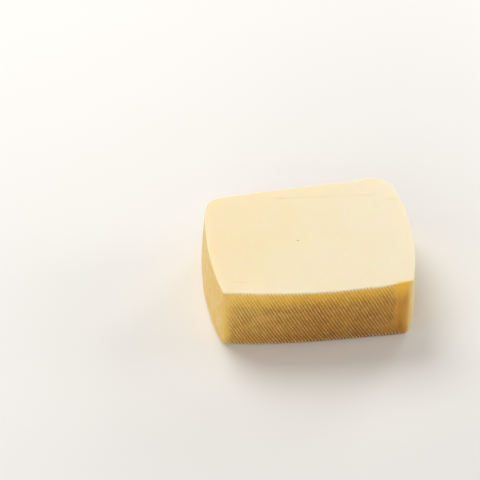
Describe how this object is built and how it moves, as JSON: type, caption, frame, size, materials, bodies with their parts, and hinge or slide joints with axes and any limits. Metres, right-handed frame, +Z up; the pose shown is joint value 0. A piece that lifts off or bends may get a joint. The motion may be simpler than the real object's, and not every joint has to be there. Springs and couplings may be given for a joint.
{
  "type": "coalho cheese block",
  "caption": "Solid block of coalho cheese lying flat, with bowed sides, rounded corners, a smooth top and a front face ribbed by its mould.",
  "frame": {"origin": "middle of the underside, at the centre of the block's outline box", "axes": "+X along the ribbed front face, towards its right end; +Y towards the back; +Z up. The ribbed front face looks to -Y"},
  "size_m": [0.1418, 0.1114, 0.0475],
  "materials": {
    "cheese": "semi-hard cheese, pale cream on the cut top, golden and slightly moist on the moulded sides"
  },
  "bodies": {
    "root": {"cheese_block": "cheese"}
  },
  "joints": []
}
